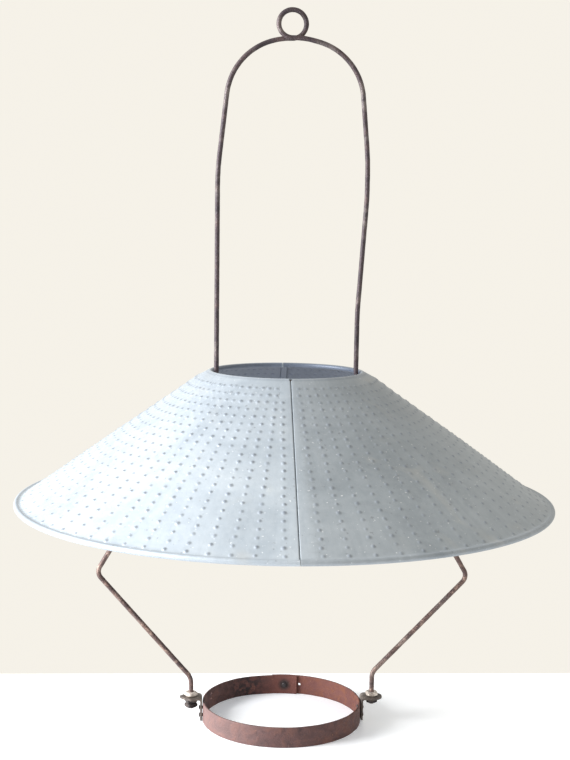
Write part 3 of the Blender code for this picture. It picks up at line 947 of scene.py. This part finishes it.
def make_harp(material):
    route = with_threads(harp_route())
    sides = 20
    points = []
    across = Vector((0, 1, 0))
    for number, centre in enumerate(route):
        before = route[max(0, number - 1)]
        after = route[min(len(route) - 1, number + 1)]
        ahead = (after - before).normalized()
        across = (across - ahead * across.dot(ahead)).normalized()
        beside = ahead.cross(across)
        in_thread = centre.z < THREAD_TOP - 2
        end = number in (0, len(route) - 1)
        for side in range(sides):
            roll = 2 * math.pi * side / sides
            outward = across * math.cos(roll) + beside * math.sin(roll)
            spot = centre + outward * WIRE_RADIUS
            reach = WIRE_RADIUS - 0.07 + uneven(spot, 5.0, 0.05) + uneven(spot, 1.6, 0.025, 4.0)
            if in_thread:
                turn = centre.z / THREAD_PITCH + roll / (2 * math.pi)
                wave = abs(turn % 1.0 - 0.5) * 2
                reach = WIRE_RADIUS - 0.03 - THREAD_DEPTH * (1 - wave)
            if end:
                reach -= 0.35
            points.append(centre + outward * reach)
    faces = tube_faces(len(route), sides, False)
    harp = mesh_object("bent_wire_harp", points, faces, material, 60.0)
    return place_piece(harp, "frame", "wire", "harp_wire")


# Fount ring -----------------------------------------------------------------


def strap_step_in(passed):
    """How far the strap is stepped in, some degrees past its inner end."""
    lap = LAP_TURN - 360
    done = min(1.0, max(0.0, (passed - lap - 2) / LAP_RAMP))
    return (STRAP + GAP) * (1 - done * done * (3 - 2 * done))


def strap_section():
    """Rounded rectangle as (depth inward, height)."""
    corner = 0.45
    section = []
    for depth, height, start in (
        (corner, corner, 180),
        (STRAP - corner, corner, 270),
        (STRAP - corner, RING_HEIGHT - corner, 0),
        (corner, RING_HEIGHT - corner, 90),
    ):
        for piece in range(4):
            angle = math.radians(start + 30 * piece)
            section.append((depth + corner * math.cos(angle), height + corner * math.sin(angle)))
        if start in (270, 90):
            run = RING_HEIGHT - 2 * corner
            direction = 1 if start == 270 else -1
            base = section[-1]
            section.extend((base[0], base[1] + direction * run * part / 9) for part in range(1, 9))
    return section


def cut_holes(piece, cylinders):
    """Drills round holes, given as (matrix, radius, length) in millimetres."""
    built = bmesh.new()
    for matrix, radius, length in cylinders:
        bmesh.ops.create_cone(
            built, cap_ends=True, segments=20, radius1=radius * MM, radius2=radius * MM,
            depth=length * MM, matrix=matrix,
        )
    mesh = bpy.data.meshes.new("drill")
    built.to_mesh(mesh)
    built.free()
    cutter = add_object("drill", mesh)
    cut = piece.modifiers.new("holes", "BOOLEAN")
    cut.operation = "DIFFERENCE"
    cut.solver = "EXACT"
    cut.object = cutter
    bake_modifiers(piece)
    bpy.data.objects.remove(cutter)


def bake_modifiers(piece):
    bpy.context.view_layer.update()
    graph = bpy.context.evaluated_depsgraph_get()
    mesh = bpy.data.meshes.new_from_object(piece.evaluated_get(graph))
    piece.modifiers.clear()
    piece.data = mesh


def radial_matrix(degrees, reach, height):
    """A drill's place, pointing out from the Z axis."""
    turn = Matrix.Rotation(math.radians(degrees), 4, "Z")
    place = Matrix.Translation(Vector((reach, 0, height)) * MM)
    return turn @ place @ Matrix.Rotation(math.radians(90), 4, "Y")


def make_ring(material):
    section = strap_section()
    stations = round(LAP_TURN / STRAP_STATION) + 1
    points = []
    for station in range(stations):
        passed = station * STRAP_STATION
        outer = RING_RADIUS - strap_step_in(passed)
        for depth, height in section:
            radius = outer - depth
            spot = polar(LAP_START + passed, radius, height)
            inward = 0.5 + uneven(spot, 7.0, 0.5) + uneven(spot, 2.2, 0.3, 5.0)
            inward = 0.09 * max(0.0, inward)
            radius += inward if depth > STRAP / 2 else -inward
            nick = 0.12 * max(0.0, uneven(spot, 9.0, 1.0, 8.0))
            height += nick if height < RING_HEIGHT / 2 else -nick
            points.append(polar(LAP_START + passed, radius, height))
    ring = mesh_object("strap_ring", points, tube_faces(stations, len(section), False), material)
    middle = RING_RADIUS - STRAP / 2
    holes = [(radial_matrix(angle, middle, height), radius, 3 * STRAP)
             for angle, height, radius in SPARE_HOLES]
    lap_middle = RING_RADIUS - STRAP - GAP / 2
    lap_hole = radial_matrix(LAP_RIVET_ANGLE, lap_middle, LAP_RIVET_HEIGHT)
    holes.append((lap_hole, RIVET_SHANK + GAP, 4 * STRAP))
    for angle in (0, 180):
        for height in LUG_RIVET_HEIGHTS.values():
            holes.append((radial_matrix(angle, middle, height), RIVET_SHANK + GAP, 3 * STRAP))
    cut_holes(ring, holes)
    return place_piece(ring, "frame", "strap", "fount_ring")


# Rivets, lugs and nuts ------------------------------------------------------


def make_rivet(node, material):
    """A hammered rivet between the inner and outer faces of its CAD node."""
    low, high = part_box(node)
    centre = (low + high) / 2 / MM
    degrees = math.degrees(math.atan2(centre.y, centre.x))
    if "lug" in node:
        degrees = 0.0 if centre.x > 0 else 180.0
        inner, outer = RING_RADIUS - STRAP - GAP, RING_RADIUS + STRAP + 2 * GAP
    else:
        degrees = LAP_RIVET_ANGLE
        inner, outer = RING_RADIUS - 2 * STRAP - 2 * GAP, RING_RADIUS + GAP
    sides = 24
    rings = []
    for piece in range(6):
        turn = math.radians(90 * (1 - piece / 5.5))
        rings.append((RIVET_HEAD * math.cos(turn) + 0.02, inner - 0.8 * math.sin(turn)))
    rings += [(RIVET_HEAD, inner), (RIVET_SHANK, inner), (RIVET_SHANK, outer), (RIVET_HEAD, outer)]
    for piece in range(6):
        turn = math.radians(90 * (piece + 0.5) / 5.5)
        rings.append((RIVET_HEAD * math.cos(turn) + 0.02,
                      outer + RIVET_HEAD_HEIGHT * math.sin(turn)))
    matrix = Matrix.Rotation(math.radians(degrees), 4, "Z")
    points = []
    for radius, reach in rings:
        for side in range(sides):
            roll = 2 * math.pi * side / sides
            spot = Vector((reach, radius * math.cos(roll), centre.z + radius * math.sin(roll)))
            if radius > RIVET_SHANK:
                spot.x -= 0.08 * (1 + noise.noise(spot)) * (1 if reach > inner + 1 else -1)
            points.append(matrix @ spot)
    rivet = mesh_object("domed_" + node, points, tube_faces(len(rings), sides, False), material)
    return place_piece(rivet, "frame", "rivet", node)


def make_lug(side, material):
    """The CAD lug with its edges rounded."""
    node = "lug_" + side
    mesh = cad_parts[node].data.copy()
    mesh.name = "forged_" + node
    mesh.materials.clear()
    mesh.materials.append(material)
    cleaned = bmesh.new()
    cleaned.from_mesh(mesh)
    bmesh.ops.remove_doubles(cleaned, verts=cleaned.verts, dist=1e-6)
    bmesh.ops.dissolve_limit(
        cleaned, angle_limit=math.radians(3), verts=cleaned.verts, edges=cleaned.edges
    )
    cleaned.to_mesh(mesh)
    cleaned.free()
    lug = add_object("forged_" + node, mesh)
    rounding = lug.modifiers.new("rounding", "BEVEL")
    rounding.width = 0.3 * MM
    rounding.segments = 3
    rounding.limit_method = "ANGLE"
    rounding.angle_limit = math.radians(28)
    bake_modifiers(lug)
    lug.data.shade_smooth()
    lug.data.set_sharp_from_angle(angle=math.radians(35))
    return place_piece(lug, "frame", "lug", node)


def nut_outline():
    """Angles and reaches round a square nut whose corners are cut off flat."""
    half = NUT_WIDTH / 2
    cut_angle = math.degrees(math.atan2(half - NUT_CORNER_CUT, half))
    outline = []
    for quarter in range(4):
        for angle in (0, 12, 24, 34, cut_angle, 45, 90 - cut_angle, 56, 66, 78):
            degrees = 90 * quarter + angle
            across = abs(math.cos(math.radians(degrees)))
            along = abs(math.sin(math.radians(degrees)))
            flat = half / max(across, along)
            cut = (2 * half - NUT_CORNER_CUT) / (across + along)
            outline.append((degrees, min(flat, cut)))
    return outline


def make_nut(node, turn, material):
    """A square nut, its corners taken off by a cone above and below."""
    low, high = millimetres(node)
    centre = Vector((math.copysign(WIRE_END_X, low.x), 0, 0))
    chamfer_from = NUT_WIDTH / 2 - NUT_CHAMFER
    outline = nut_outline()
    points = []
    for height, place in (
        (low.z, "bore"), (low.z, "face"), (low.z, "edge"),
        (high.z, "edge"), (high.z, "face"), (high.z, "bore"),
    ):
        for degrees, full in outline:
            reach, level = full, height
            if place == "bore":
                reach = WIRE_RADIUS + GAP
            elif place == "face":
                reach = min(chamfer_from, full - NUT_CHAMFER)
            else:
                drop = 0.12 + 0.55 * max(0.0, full - chamfer_from)
                level += drop if height == low.z else -drop
            points.append(centre + polar(degrees + turn, reach, level))
    nut = mesh_object("square_" + node, points, tube_faces(6, len(outline), True), material, 30.0)
    return place_piece(nut, "frame", "nut", node)


# Stage ----------------------------------------------------------------------


def make_stage():
    """A plain pale table whose far edge shows behind the frame; it glows faintly, a painted glow
    standing in for light bounced off it.
    """
    tree = Tree("glowing_pale_table")
    grain = tree.noise(6.0, 3.0, 0.5)
    tint = tree.ramp(grain, (0.3, (0.90, 0.905, 0.92)), (0.7, (0.93, 0.935, 0.945)))
    # A faint painted glow, standing in for light bounced off the table
    tree.shader.inputs["Emission Color"].default_value = (0.90, 0.95, 1.0, 1.0)
    tree.shader.inputs["Emission Strength"].default_value = 0.24
    material = tree.finish(colour=tint, roughness=0.35)
    near, far, half = -700.0, 108.5, 1300.0
    top, underside = -0.05, -30.0
    corners = ((-half, near), (half, near), (half, far), (-half, far))
    points = [(x, y, height) for height in (top, underside) for x, y in corners]
    faces = [[0, 1, 2, 3], [7, 6, 5, 4], [0, 4, 5, 1], [1, 5, 6, 2], [2, 6, 7, 3], [3, 7, 4, 0]]
    table = mesh_object("glowing_pale_table", points, faces, material)


def make_world():
    world = bpy.data.worlds.new("soft_room")
    bpy.context.scene.world = world
    world.use_nodes = True
    background = world.node_tree.nodes["Background"]
    background.inputs["Color"].default_value = (0.92, 0.885, 0.81, 1.0)
    background.inputs["Strength"].default_value = 1.0


def make_window():
    """One wide soft light from the left."""
    window = bpy.data.lights.new("window", "AREA")
    window.shape = "RECTANGLE"
    window.size, window.size_y = 1.0, 1.3
    window.energy = 100.0
    window.color = (0.97, 0.985, 1.0)
    made = add_object("window", window)
    made.location = (-1.7, -0.35, 0.75)
    aim = Vector((0, 0, 0.2)) - made.location
    made.rotation_euler = aim.to_track_quat("-Z", "Y").to_euler()


def make_camera():
    camera = bpy.data.cameras.new("camera")
    camera.lens = 65.9
    camera.sensor_width = 36.0
    camera.clip_start = 0.01
    made = add_object("camera", camera)
    made.location = (-0.0538, -1.0428, 0.383)
    heading, pitch, roll = 0.0507, 0.1128, 0.01465
    turn = Matrix.Rotation(-heading, 4, "Z") @ Matrix.Rotation(math.pi / 2 - pitch, 4, "X")
    made.rotation_euler = (turn @ Matrix.Rotation(roll, 4, "Z")).to_euler()
    bpy.context.scene.camera = made


def main():
    materials = make_materials()
    make_camera()
    make_shade(materials)
    neck = make_hoop("neck_edge_wire", NECK_ROLL, NECK_WIRE_RADIUS, materials["edge_wire"])
    place_piece(neck, "shade_collar", "wire", "neck_wire")
    rim = make_hoop("rim_edge_wire", RIM_ROLL, RIM_WIRE_RADIUS, materials["edge_wire"])
    place_piece(rim, "shade", "wire", "rim_wire")
    make_harp(materials["wire"])
    make_ring(materials["strap"])
    make_rivet("lap_rivet", materials["shaded_nut_and_rivet"])
    for side in ("left", "right"):
        make_lug(side, materials["lug"])
        for level in LUG_RIVET_HEIGHTS:
            make_rivet(f"lug_{side}_rivet_{level}", materials["shaded_nut_and_rivet"])
    for node, turn in NUT_TURNS.items():
        # Top nuts get the painted highlight, the nuts under the lugs the painted shade
        make_nut(node, turn, materials["nut" if "top" in node else "shaded_nut_and_rivet"])
    make_stage()
    make_world()
    make_window()
    bpy.context.scene.view_settings.view_transform = "Standard"


main()
